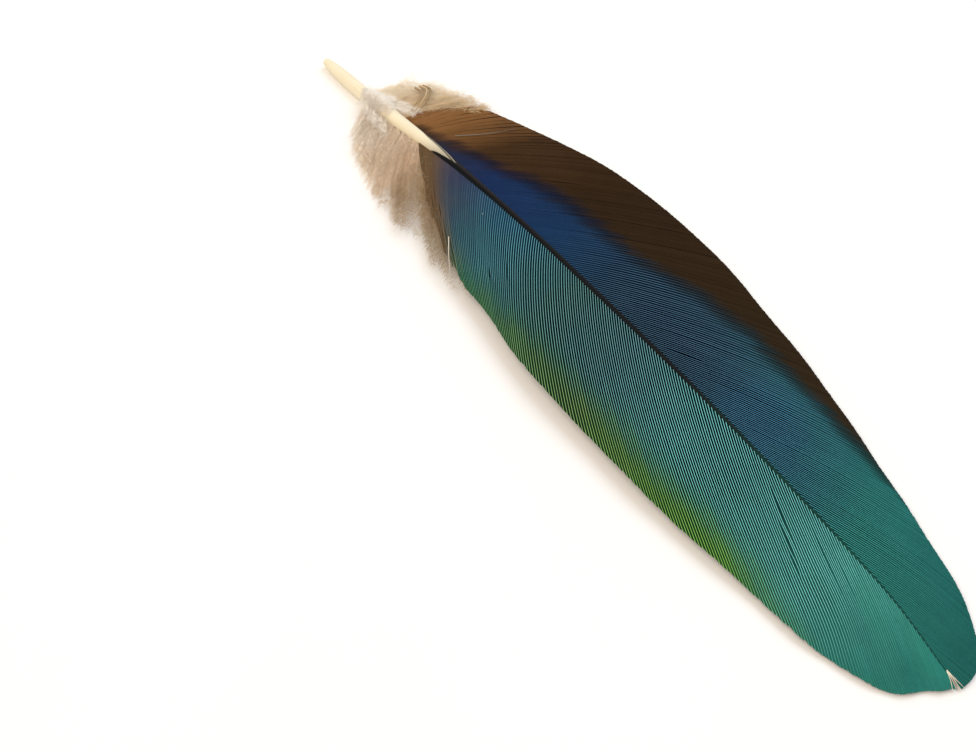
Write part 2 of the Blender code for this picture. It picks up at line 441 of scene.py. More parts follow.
@dataclass(frozen=True)
class VaneFinish:
    """Silky barbs: a coloured ridge along each one, whitened by a painted sheen, dark barbules between them.

    The rows of colours run from the base to the tip: beside the shaft, halfway
    out, and in the border along the margin.
    """

    name: str
    near: Stops
    middle: Stops
    border: Stops
    border_softness: float
    border_contrast: float
    border_dip: float
    contrast: Stops
    # Ridge colours along the feather: the ramus's own lighter colour with a painted whitish sheen added.
    ridges_and_sheen: Stops
    ridge_edge: float = 0.29
    ridge_top: float = 0.08
    outward_fade: float = 0.0
    downy: Colour = srgb(108, 86, 62)
    border_gain: float = 4.2
    gap_gain: Colour = (0.0, 0.08, 0.08)
    roughness: float = 0.5

    def upper(self) -> bpy.types.Material:
        """Makes the finish of the coloured side.

        Returns:
            The material.
        """
        desk = NodeDesk(self.name)
        tone = desk.point("tone")
        along = desk.sway(desk.point("along"), desk.noise(170.0, 3.0), 0.07)
        out = desk.sway(desk.point("out"), tone, 0.08)
        colour = desk.mix(
            desk.step(out, 0.1, 0.6),
            desk.ramp(along, self.near),
            desk.ramp(along, self.middle),
        )
        rim = desk.sway(desk.point("rim"), desk.noise(210.0, 2.0), 0.16)
        rim = desk.sway(rim, tone, 0.06)
        border = desk.step(rim, -self.border_softness, self.border_softness)
        colour = desk.mix(border, colour, desk.ramp(along, self.border))
        colour = desk.mix(desk.point("downy"), colour, self.downy)
        seam = desk.maths("MULTIPLY", border, desk.maths("SUBTRACT", 1.0, border))
        crisp = desk.maths(
            "MULTIPLY",
            desk.ramp(along, self.contrast),
            desk.maths("MULTIPLY_ADD", border, self.border_contrast - 1.0, 1.0),
        )
        fade = desk.maths("MULTIPLY_ADD", desk.step(out, 0.2, 0.9), -self.outward_fade, 1.0)
        crisp = desk.maths("MULTIPLY", crisp, fade)
        light = desk.maths("MULTIPLY_ADD", tone, 0.12, 0.8)
        light = desk.sway(light, desk.noise(420.0, 3.0), 0.2)
        light = desk.sway(light, desk.noise(3200.0, 2.0), 0.2)
        light = desk.maths("MULTIPLY_ADD", seam, -4 * self.border_dip, light)
        colour = desk.shaded(colour, light)
        across = desk.maths("ABSOLUTE", desk.point("across"))
        bright = desk.maths("MULTIPLY_ADD", crisp, self.border_gain - 1.0, 1.0)
        # Ridge colour: partly the ramus's own colour, partly a painted sheen that whitens each ridge.
        ridge_and_painted_sheen = desk.shaded(desk.ramp(along, self.ridges_and_sheen), light)
        plain = desk.maths("MULTIPLY_ADD", border, -1.0, 1.0)
        plain = desk.maths("MULTIPLY", plain, fade)
        firm = desk.maths("SUBTRACT", 1.0, desk.point("downy"))
        plain = desk.maths("MULTIPLY", plain, firm)
        ridge = desk.mix(plain, desk.shaded(colour, bright), ridge_and_painted_sheen)
        dim = desk.mix(crisp, (1.0, 1.0, 1.0), self.gap_gain)
        dark = desk.mix(1.0, colour, dim, "MULTIPLY")
        # Painted shade: where neighbouring barbs part, the flange edges in the gap turn near-black.
        split_shade = desk.maths("MULTIPLY", desk.step(across, 1.45, 2.0), firm)
        dark = desk.mix(split_shade, dark, srgb(14, 14, 16))
        colour = desk.mix(desk.step(across, self.ridge_edge, self.ridge_top), dark, ridge)
        desk.put(desk.shader.inputs["Base Color"], colour)
        desk.shader.inputs["Roughness"].default_value = self.roughness
        desk.shader.inputs["Specular IOR Level"].default_value = 0.005
        barbules = desk.maths("SINE", desk.maths("MULTIPLY", desk.point("run"), 110.0))
        desk.bump(barbules, 0.25, 0.000008)
        return desk.material

    def under(self) -> bpy.types.Material:
        """Makes the dull finish of the side that faces the floor.

        Returns:
            The material.
        """
        desk = NodeDesk(self.name + "_under")
        colour = desk.ramp(desk.sway(desk.point("along"), desk.noise(150.0), 0.08), (
            (0.2, srgb(158, 134, 114)),
            (0.42, srgb(112, 98, 84)),
            (0.75, srgb(98, 96, 78)),
            (1.0, srgb(84, 86, 78)),
        ))
        ridge = desk.step(desk.maths("ABSOLUTE", desk.point("across")), 0.6, 0.1)
        colour = desk.mix(desk.maths("MULTIPLY", ridge, 0.5), colour, srgb(168, 152, 126))
        light = desk.maths("MULTIPLY_ADD", desk.point("tone"), 0.4, 0.75)
        light = desk.sway(light, desk.noise(2600.0), 0.3)
        desk.put(desk.shader.inputs["Base Color"], desk.shaded(colour, light))
        desk.shader.inputs["Roughness"].default_value = 0.5
        return desk.material


@dataclass(frozen=True)
class ShaftFinish:
    """Pale horn of the quill that runs as a wedge into the dark rachis, with a painted warm highlight along
    the rachis's top.
    """

    name: str = "shaft_horn"
    pale: Colour = srgb(240, 229, 200)
    dark: Colour = srgb(15, 18, 21)
    # Painted highlight: a lighter warm colour along the top middle of the rachis.
    painted_highlight: Colour = srgb(58, 48, 46)
    end: Colour = srgb(14, 66, 58)

    def make(self) -> bpy.types.Material:
        """Makes the material.

        Returns:
            The material.
        """
        desk = NodeDesk(self.name)
        streak = desk.noise(1400.0, 3.0, (0.06, 1.0, 1.0))
        blotch = desk.noise(260.0, 3.0)
        pale = desk.shaded(self.pale, desk.sway(desk.sway(0.95, streak, 0.2), blotch, 0.15))
        pale = desk.mix(
            desk.maths("MULTIPLY", desk.step(streak, 0.62, 0.74), 0.5),
            pale, srgb(214, 196, 160))
        # Painted highlight: a warm band along the top middle of the rachis, fading out towards the tip.
        highlight_band = desk.step(desk.maths("ABSOLUTE", desk.point("turn")), 0.5, 0.0)
        highlight_band = desk.maths("MULTIPLY", highlight_band, desk.step(desk.point("upward"), 0.2, 0.8))
        highlight_band = desk.maths("MULTIPLY", highlight_band, desk.step(desk.point("along"), 0.55, 0.28))
        dark = desk.mix(desk.step(desk.point("along"), 0.62, 0.9), self.dark, self.end)
        dark = desk.mix(desk.maths("MULTIPLY", highlight_band, 0.4), dark, self.painted_highlight)
        under = desk.step(desk.point("upward"), -0.1, -0.6)
        dark = desk.mix(under, dark, srgb(122, 104, 86))
        dark = desk.shaded(dark, desk.sway(1.0, streak, 0.9))
        inside = desk.maths(
            "MULTIPLY",
            desk.step(desk.sway(desk.point("outer_edge"), streak, 0.22), -0.06, 0.1),
            desk.step(desk.sway(desk.point("inner_edge"), streak, 0.3), -0.06, 0.1),
        )
        line = desk.maths("ABSOLUTE", desk.maths("SUBTRACT", desk.point("inner_edge"), 0.36))
        line = desk.maths(
            "MULTIPLY", desk.step(line, 0.22, 0.06), desk.step(desk.point("along"), 0.19, 0.215))
        # Painted shade: the pale wedge is dimmed towards its point, where the vanes and down begin.
        pale = desk.shaded(
            pale, desk.maths("MULTIPLY_ADD", desk.step(desk.point("along"), 0.2, 0.27), -0.6, 1.0))
        pale = desk.mix(line, pale, srgb(70, 60, 48))
        desk.put(desk.shader.inputs["Base Color"], desk.mix(inside, dark, pale))
        desk.shader.inputs["Roughness"].default_value = 0.4
        desk.shader.inputs["Specular IOR Level"].default_value = 0.06
        desk.bump(streak, 0.3, 0.00003)
        return desk.material


@dataclass(frozen=True)
class DownFinish:
    """Soft loose down, with the colours from the quill onwards and that of its tips."""

    name: str
    colours: Stops
    tip: Colour
    tip_share: float = 0.5

    def make(self) -> bpy.types.Material:
        """Makes the material.

        Returns:
            The material.
        """
        desk = NodeDesk(self.name)
        along = desk.sway(desk.point("along"), desk.noise(260.0), 0.08)
        share = desk.maths("MULTIPLY", desk.step(desk.point("share"), 0.2, 1.0), self.tip_share)
        colour = desk.mix(share, desk.ramp(along, self.colours), self.tip)
        light = desk.maths("MULTIPLY_ADD", desk.point("tone"), 0.16, 0.9)
        desk.put(desk.shader.inputs["Base Color"], desk.shaded(colour, light))
        desk.shader.inputs["Roughness"].default_value = 0.75
        desk.shader.inputs["Specular IOR Level"].default_value = 0.1
        desk.shader.inputs["Sheen Weight"].default_value = 0.15
        return desk.material


@dataclass(frozen=True)
class LooseFinish:
    """Bare barbs that stand loose: dark ones and pale ones."""

    name: str = "loose_barb_horn"
    dark: Colour = srgb(46, 38, 34)
    pale: Colour = srgb(238, 226, 206)

    def make(self) -> bpy.types.Material:
        """Makes the material.

        Returns:
            The material.
        """
        desk = NodeDesk(self.name)
        colour = desk.mix(desk.point("tone"), self.dark, self.pale)
        light = desk.sway(0.95, desk.noise(1800.0), 0.2)
        desk.put(desk.shader.inputs["Base Color"], desk.shaded(colour, light))
        desk.shader.inputs["Roughness"].default_value = 0.5
        desk.shader.inputs["Specular IOR Level"].default_value = 0.2
        return desk.material


@dataclass(frozen=True)
class Parting:
    """A place where neighbouring barbs have come apart.

    Attributes:
        root: Where the barbs on both sides of it leave the shaft, in mm.
        start: Share of the barbs' length where it opens.
        end: Share of their length where it closes.
        width: How far it opens, in mm.
    """

    root: float
    start: float
    end: float
    width: float


@dataclass
class Vane:
    """One vane: a row of barbs, each a closed strip with a ridge and two flanges."""

    name: str
    side: Side
    rows: Rows
    bend: float
    finish: VaneFinish
    border_start: Rows
    partings: tuple[Parting, ...] = ()
    pitch: float = 0.205
    closest: float = 0.36
    widest: float = 0.5
    steps: int = 26
    camber: float = 0.42
    root_inset: float = 0.35
    root_lift: Rows = ((0.0, 0.2), (20.0, 0.25), (27.0, 0.45), (34.0, 0.55), (80.0, 0.6), (94.0, 0.7))
    loose_until: tuple[float, float] = (21.0, 27.0)
    ragged: float = 0.04
    blunt: float = 0.9
    longest: float = 1.12
    seed: int = 1
    top: Rows = (
        (-1.32, -0.018),
        (-0.45, 0.0),
        (-0.24, 0.04),
        (0.0, 0.055),
        (0.24, 0.04),
        (0.45, 0.006),
        (1.24, 0.002),
    )
    bottom: Rows = ((0.5, -0.03), (0.0, -0.12), (-0.5, -0.06))

    def spine(self, root: np.ndarray, u: np.ndarray) -> tuple[np.ndarray, ...]:
        """Follows barbs from the shaft to the margin.

        Args:
            root: Where each barb leaves the shaft.
            u: Shares of the barb's length.

        Returns:
            Distance along, distance out and height of the barb's middle.
        """
        tip_s, tip_v, tip_z = (smooth(self.rows, column, root) for column in (1, 2, 3))
        inset = self.root_inset * FORM.radius(root)
        top = FORM.radius(root) * smooth(FORM.shaft_size, 2, root)
        root_z = FORM.height(root) + smooth(self.root_lift, 1, root) * top
        s = root + (tip_s - root) * (self.bend * u + (1 - self.bend) * u * u)
        v = inset + (tip_v - inset) * u
        z = root_z + (tip_z - root_z) * (self.camber * u + (1 - self.camber) * u * u)
        z = z + 0.07 * np.sin(root * 0.75 + 2.5 * u) * ease(0.1, 0.6, u)
        return s, v, z

    def spread(self, root: np.ndarray, u: np.ndarray) -> tuple[np.ndarray, np.ndarray]:
        """Compares barbs with their neighbours towards the tip.

        Args:
            root: Where each barb leaves the shaft.
            u: Shares of the barb's length.

        Returns:
            How far apart the barbs run for each mm between their roots, and how
            steeply the vane rises square to them.
        """
        reach = 0.05
        far, near = self.spine(root + reach, u), self.spine(root - reach, u)
        ahead, behind = self.spine(root, u + 0.01), self.spine(root, u - 0.01)
        run = np.stack([ahead[0] - behind[0], ahead[1] - behind[1]])
        length = np.linalg.norm(run, axis=0)
        run = run / length
        step = [(one - other) / (2 * reach) for one, other in zip(far, near)]
        apart = np.maximum(step[0] * run[1] - step[1] * run[0], 0.03)
        climb = (ahead[2] - behind[2]) / length * (step[0] * run[0] + step[1] * run[1])
        return apart, np.clip((step[2] - climb) / apart, -0.6, 0.6)

    def barb_roots(self) -> np.ndarray:
        """Spaces the roots so that the barbs lie evenly halfway out.

        Returns:
            The distance along the shaft of each root.
        """
        fine = np.linspace(self.rows[0][0], self.rows[-1][0], 1500)
        step = self.pitch / self.spread(fine, np.full_like(fine, 0.45))[0]
        step = np.clip(step, self.closest, self.widest)
        number = np.cumsum(np.gradient(fine) / step)
        return np.interp(np.arange(0.5, number[-1]), number, fine)

    def sideways(self, root: np.ndarray, u: np.ndarray, own: np.ndarray) -> np.ndarray:
        """Gives how far each barb strays from its even place, towards the tip.

        Args:
            root: Where each barb leaves the shaft.
            u: Shares of the barb's length.
            own: A chance number for each barb.

        Returns:
            Distances in mm.
        """
        bunch = np.sin(root * 2.7 + 4 * u + self.seed)
        bunch = bunch + 0.8 * np.sin(root * 1.45 - 3 * u + 2.0 * self.seed)
        stray = self.pitch * (0.012 * bunch + 0.015 * own * np.sin(3 * u + root))
        loose = 1 - ease(*self.loose_until, root)
        wave = np.sin(root * 1.9 + 5 * u) + np.sin(root * 5.3 + 11 * u + self.seed)
        stray = stray + loose * 0.16 * wave * ease(0.2, 0.9, u)
        stray = stray * ease(0.02, 0.25, u)
        for gap in self.partings:
            mid, half = (gap.start + gap.end) / 2, (gap.end - gap.start) / 2
            opening = np.clip(1 - ((u - mid) / half) ** 2, 0, 1)
            away = np.exp(-np.abs(root - gap.root) / 1.1) * np.sign(root - gap.root)
            stray = stray + 0.5 * gap.width * opening * away
        return stray

    def lay(self, root: np.ndarray, u: np.ndarray, share: np.ndarray,
            own: np.ndarray) -> tuple[np.ndarray, ...]:
        """Lays the points of every barb's cross section.

        Args:
            root: Where each barb leaves the shaft, as (barb, 1, 1).
            u: Shares of the barb's length, as (barb, step, column).
            share: How far each step is on the way to the barb's cut end.
            own: A chance number for each barb, as (barb, 1, 1).

        Returns:
            Distance along, distance out, height and place across the barb, where
            the barb's ridge is at 0 and its edges are at -1 and 1.
        """
        step = np.gradient(root, axis=0)
        length = np.hypot(smooth(self.rows, 1, root) - root, smooth(self.rows, 2, root))
        s, v, z = self.spine(root, u)
        after, before = self.spine(root, u + 0.02), self.spine(root, u - 0.02)
        ahead = np.stack([after[0] - before[0], after[1] - before[1]])
        ahead = ahead / np.linalg.norm(ahead, axis=0)
        stray = self.sideways(root, u, own)
        s, v = s + stray * ahead[1], v - stray * ahead[0]
        spread, tilt = self.spread(root, u)
        half = 0.5 * spread * step
        gap = 0.5 * (spread[1:] + spread[:-1]) * np.diff(root, axis=0) + np.diff(stray, axis=0)
        gap = 0.5 * np.maximum(gap, 0.03)
        distal = np.concatenate([gap, half[-1:]])
        proximal = np.concatenate([half[:1], gap])
        loose = 1 - ease(*self.loose_until, root)
        taper = np.sqrt(np.clip((1 - share) * length / 0.6, 0, 1))
        taper = self.blunt + (1 - self.blunt) * taper
        veil = taper * (1 - 0.5 * loose * ease(0.35, 0.95, u))
        column = np.array(self.top + self.bottom)
        factor, lift = column[:, 0][None, None], column[:, 1][None, None]
        flange = factor * np.where(factor > 0, distal, proximal) * veil
        ridge = factor * np.minimum(half, 0.17) * (0.35 + 0.65 * taper)
        lateral = np.where(np.abs(factor) > 1, flange, ridge)
        z = z + 0.012 * own * ease(0.05, 0.3, u) * np.clip(half / 0.16, 0.15, 1.0)
        z = z + tilt * lateral + lift * np.clip(half / 0.12, 0.35, 1.0) * taper
        across = lateral / np.minimum(half, 0.2)
        return s + lateral * ahead[1], v - lateral * ahead[0], np.maximum(z, 0.01), across

    def ends(self, root: np.ndarray, own: np.ndarray, notch: np.ndarray) -> np.ndarray:
        """Finds where each column of each barb's cross section meets the margin.

        Args:
            root: Where each barb leaves the shaft, as (barb, 1, 1).
            own: A chance number for each barb, as (barb, 1, 1).
            notch: How far each barb stays behind the margin, as (barb, 1, 1).

        Returns:
            Shares of the barb's length, as (barb, 1, column).
        """
        columns = len(self.top) + len(self.bottom)
        grid = np.linspace(0.55, 1.15, 61)
        u = np.broadcast_to(grid[None, :, None], (len(root), len(grid), columns))
        s, v, _, _ = self.lay(root, u, np.zeros_like(u), own)
        fine = np.linspace(self.rows[0][0], self.rows[-1][0], 1200)
        margin = np.interp(s, smooth(self.rows, 1, fine), smooth(self.rows, 2, fine))
        beyond = v - margin + notch
        found = np.argmax(beyond >= 0, axis=1)
        found = np.where((beyond >= 0).any(axis=1), found, len(grid) - 1)
        found = np.maximum(found, 1)[:, None, :]
        last = np.take_along_axis(beyond, found, axis=1)
        prior = np.take_along_axis(beyond, found - 1, axis=1)
        part = np.clip(-prior / np.where(last > prior, last - prior, 1.0), 0, 1)
        return np.clip(grid[found - 1] + part * (grid[1] - grid[0]), 0.6, self.longest)

    def build(self) -> bpy.types.Object:
        """Builds the vane.

        Returns:
            The finished piece.
        """
        rng = np.random.default_rng(self.seed)
        even = self.barb_roots()
        root = even + rng.uniform(-0.02, 0.02, len(even)) * np.gradient(even)
        root = root[:, None, None]
        own = rng.normal(0, 1, root.shape)
        loose = 1 - ease(*self.loose_until, root)
        notch = np.abs(rng.normal(0, 1, root.shape)) * (self.ragged + 0.35 * loose)
        share = np.linspace(0, 1, self.steps)[None, :, None]
        u = share * self.ends(root, own, notch)
        s, v, z, across = self.lay(root, u, share, own)
        sides = s.shape[-1]
        faces = tube_faces(len(root), self.steps, sides)
        walls = (np.arange((self.steps - 1) * sides) % sides >= len(self.top) - 1).astype(int)
        finish = np.tile(np.concatenate([walls, np.zeros(2 * (sides - 2), int)]), len(root))
        if self.side is Side.OUTER:
            faces = np.where(faces[:, 2:3] == faces[:, 3:4],
                             faces[:, [0, 2, 1, 1]], faces[:, ::-1])
        fine = np.linspace(self.rows[0][0], self.rows[-1][0], 800)
        out = v / np.interp(s, smooth(self.rows, 1, fine), smooth(self.rows, 2, fine))
        tone = 0.2 + 0.6 * rng.uniform(0, 1, root.shape) + 0.2 * np.sin(root * 3.1)
        length = np.hypot(smooth(self.rows, 1, root) - root, smooth(self.rows, 2, root))
        skin = Skin()
        skin.add(
            FORM.place(s, self.side.value * v, z), faces, finish,
            along=s / LENGTH,
            out=out,
            rim=out - smooth(self.border_start, 1, s),
            across=across,
            tone=np.broadcast_to(tone, s.shape),
            downy=np.broadcast_to(loose ** 2, s.shape),
            run=u * length,
        )
        return skin.build(self.name, [self.finish.upper(), self.finish.under()])


@dataclass
class Shaft:
    """The quill with its open end and the rachis, as one tapering tube."""

    name: str = "shaft"
    finish: ShaftFinish = field(default_factory=ShaftFinish)
    rings: int = 180
    sides: int = 24
    hole_radius: float = 0.26
    hole_depth: float = 1.1
    groove_start: float = 20.0
    groove_depth: float = 0.3
    outer_edge: Rows = (
        (0.0, 1.8), (20.0, 1.6), (21.6, 1.15), (23.0, 0.75), (24.8, 0.4), (27.0, -0.15),
    )
    inner_edge: Rows = (
        (0.0, 1.8), (18.5, 1.3), (20.0, 0.92), (22.5, 0.75), (24.5, 0.45), (27.5, -0.5),
    )

    def ring(self, s: float, radius: float, depth: float, groove: float) -> np.ndarray:
        """Gives one ring, with the groove pressed into its underside.

        Args:
            s: Distance along the shaft.
            radius: Half the width.
            depth: Half the height as a share of the radius.
            groove: How deep the groove is, as a share of half the height.

        Returns:
            The ring's points in metres.
        """
        turn = 2 * math.pi * np.arange(self.sides) / self.sides - math.pi / 2
        off_bottom = np.angle(np.exp(1j * (turn + math.pi / 2)))
        up = radius * depth * np.sin(turn) * (1 - groove * np.exp(-(off_bottom / 0.45) ** 2))
        z = np.maximum(0.0, FORM.height(s) + up)
        return FORM.place(np.full(self.sides, s), radius * np.cos(turn), z)

    def build(self) -> bpy.types.Object:
        """Builds the shaft.

        Returns:
            The finished piece.
        """
        end = FORM.shaft_size[-1][0]
        share = np.linspace(0, 1, self.rings)
        places = end * (0.35 * share * share + 0.65 * share)
        rings = [self.ring(s, self.hole_radius, 1.0, 0.0) for s in (self.hole_depth, 0.0)]
        for s in places:
            groove = self.groove_depth * float(np.clip((s - self.groove_start) / 8, 0, 1))
            depth = float(smooth(FORM.shaft_size, 2, s))
            rings.append(self.ring(s, float(FORM.radius(s)), depth, groove))
        s = np.concatenate([[self.hole_depth, 0.0], places])[:, None]
        turn = 2 * math.pi * np.arange(self.sides) / self.sides - math.pi / 2
        around = np.broadcast_to(np.cos(turn), (len(rings), self.sides))
        skin = Skin()
        skin.add(
            np.array(rings), tube_faces(1, len(rings), self.sides),
            turn=around,
            upward=np.broadcast_to(np.sin(turn), around.shape),
            along=np.broadcast_to(s / LENGTH, around.shape),
            outer_edge=around + smooth(self.outer_edge, 1, s),
            inner_edge=smooth(self.inner_edge, 1, s) - around,
        )
        return skin.build(self.name, [self.finish.make()], sharp=60.0)


def spike_faces(spikes: int) -> np.ndarray:
    """Lists the faces of bent spikes with a foot, a middle ring and a point.

    Args:
        spikes: How many spikes there are, with 7 points each.

    Returns:
        Rows of four corners; a repeated last corner makes a triangle.
    """
    one = [[k, (k + 1) % 3, 3 + (k + 1) % 3, 3 + k] for k in range(3)]
    one += [[3 + k, 3 + (k + 1) % 3, 6, 6] for k in range(3)] + [[0, 2, 1, 1]]
    offsets = np.arange(spikes) * 7
    return (np.array(one)[None] + offsets[:, None, None]).reshape(-1, 4)


@dataclass
class Down:
    """Down at the shaft's base: curved strands with fine barbules on both sides."""

    name: str
    sides: tuple[Side, ...]
    rows: Rows
    finish: DownFinish
    strands: int = 150
    steps: int = 20
    barbules: int = 100
    bend: float = 0.45
    start: float = 0.15
    floor: Rows = ((0.0, 0.2), (90.0, 0.2))
    depth: float = 0.8
    curl: float = 0.35
    thickness: float = 0.024
    barbule_length: float = 1.35
    barbule_thickness: float = 0.015
    seed: int = 5

    def paths(self, side: Side, rng: np.random.Generator) -> np.ndarray:
        """Lays the strands of one side from the shaft outwards.

        Args:
            side: The side of the shaft.
            rng: The source of chance.

        Returns:
            Distance along, distance across and height in mm on the last axis, with
            strand and step as the first two.
        """
        u = np.linspace(0, 1, self.steps)[None]
        root = np.linspace(self.rows[0][0], self.rows[-1][0], self.strands)[:, None]
        root = root + rng.normal(0, 0.35, root.shape)
        reach = 1 - 0.3 * rng.uniform(0, 1, root.shape) ** 2
        tip_s = root + (smooth(self.rows, 1, root) - root) * reach
        tip_s = tip_s + rng.normal(0, 0.45, root.shape)
        tip_v = smooth(self.rows, 2, root) * reach
        s = root + (tip_s - root) * (self.bend * u + (1 - self.bend) * u * u)
        v = self.start + (tip_v - self.start) * u
        swing = rng.uniform(0, 2 * math.pi, root.shape)
        curl = self.curl * rng.uniform(0.2, 1.0, root.shape) * u * u
        s = s + curl * np.sin(swing + 4.5 * u)
        v = v + curl * np.cos(swing + 3.8 * u)
        start = FORM.height(root)
        layer = smooth(self.floor, 1, root) + self.depth * rng.uniform(0, 1, root.shape)
        z = start + (layer - start) * np.minimum(1, 1.3 * u) + 0.2 * u * np.sin(swing + 5 * u)
        radius = FORM.radius(s)
        over = FORM.height(s) + np.sqrt(np.maximum(radius ** 2 - v * v, 0)) + 0.05
        over = over + 0.3 * rng.uniform(0, 1, root.shape)
        if self.start < 0:
            z = np.where(np.abs(v) < radius, over, z)
        return np.stack([s, side.value * v, np.maximum(z, 0.06)], axis=-1)

    def barbule_points(self, path: np.ndarray, at: np.ndarray,
                       rng: np.random.Generator) -> np.ndarray:
        """Shapes the barbules along the strands.

        Args:
            path: The strands in metres, with strand, step and x, y, z as axes.
            at: Shares of the strand's length, with strand and barbule as axes.
            rng: The source of chance.

        Returns:
            Seven points in metres for each barbule.
        """
        place = at * (self.steps - 1)
        low = np.minimum(place.astype(int), self.steps - 2)
        part = (place - low)[:, :, None]
        row = np.arange(len(path))[:, None]
        foot = path[row, low] * (1 - part) + path[row, low + 1] * part
        ahead = unit(path[row, low + 1] - path[row, low])
        beside = unit(np.cross(ahead, np.array([0.0, 0.0, 1.0])))
        beside = beside * np.where(np.arange(at.shape[1]) % 2, 1, -1)[None, :, None]
        lean = rng.uniform(0.7, 1.5, at.shape)[:, :, None]
        rise = rng.normal(0, 0.22, at.shape)[:, :, None]
        aim = unit(ahead * lean + beside + np.array([0.0, 0.0, 1.0]) * rise)
        droop = unit(aim + ahead * 0.7 + np.array([0.0, 0.0, -0.15]))
        length = self.barbule_length * MM * (1 - 0.35 * at) * rng.uniform(0.6, 1.15, at.shape)
        middle = foot + aim * 0.5 * length[:, :, None]
        tip = middle + droop * 0.5 * length[:, :, None]
        spike = np.stack([foot, middle, tip], axis=2).reshape(-1, 3, 3)
        spike[:, :, 2] = np.maximum(spike[:, :, 2], 0.03 * MM)
        thick = np.broadcast_to(self.barbule_thickness * MM * np.array([1.0, 0.7, 0.1]),
                                (len(spike), 3))
        rings = strand_points(spike, thick, 3)
        return np.concatenate([rings[:, 0], rings[:, 1], spike[:, 2:]], axis=1)

    def build(self) -> bpy.types.Object:
        """Builds the down.

        Returns:
            The finished piece.
        """
        rng = np.random.default_rng(self.seed)
        skin = Skin()
        sides = 4
        for side in self.sides:
            lines = self.paths(side, rng)
            path = FORM.place(lines[..., 0], lines[..., 1], lines[..., 2])
            along = lines[..., 0] / LENGTH
            u = np.broadcast_to(np.linspace(0, 1, self.steps), along.shape)
            tone = rng.uniform(0, 1, (self.strands, 1))
            skin.add(
                strand_points(path, self.thickness * MM * (1 - 0.8 * u), sides),
                tube_faces(self.strands, self.steps, sides),
                share=np.repeat(u, sides, axis=1),
                along=np.repeat(along, sides, axis=1),
                tone=np.repeat(np.broadcast_to(tone, u.shape), sides, axis=1),
            )
            at = np.sort(rng.uniform(0.06, 1.0, (self.strands, self.barbules)), axis=1)
            points = self.barbule_points(path, at, rng)
            row = np.arange(self.strands)[:, None]
            near = along[row, (at * (self.steps - 1)).astype(int)]
            each = points.shape[1]
            skin.add(
                points, spike_faces(len(points)),
                share=np.repeat(at.ravel(), each),
                along=np.repeat(near.ravel(), each),
                tone=np.repeat(np.broadcast_to(tone, at.shape).ravel(), each),
            )
        return skin.build(self.name, [self.finish.make()], sharp=80.0)


@dataclass(frozen=True)
class LooseBarb:
    """One barb that has come loose.

    Attributes:
        path: Shares of its length with distance along, distance across and height.
        radius: Half its width at its start, in mm.
        tone: Its colour, from 0 for dark to 1 for pale.
    """

    path: Rows
    radius: float
    tone: float


@dataclass
class LooseBarbs:
    """Loose and broken barbs: thin closed tubes that end in a point."""

    barbs: tuple[LooseBarb, ...]
    name: str = "loose_barbs"
    finish: LooseFinish = field(default_factory=LooseFinish)
    steps: int = 18
    sides: int = 6

    def build(self) -> bpy.types.Object:
        """Builds the barbs.

        Returns:
            The finished piece.
        """
        share = np.linspace(0, 1, self.steps)
        skin = Skin()
        for barb in self.barbs:
            s, v, z = (smooth(barb.path, column, share) for column in (1, 2, 3))
            radius = barb.radius * MM * (1 - 0.8 * share ** 1.5)
            skin.add(
                strand_points(FORM.place(s, v, z)[None], radius[None], self.sides),
                tube_faces(1, self.steps, self.sides),
                tone=barb.tone,
            )
        return skin.build(self.name, [self.finish.make()], sharp=80.0)


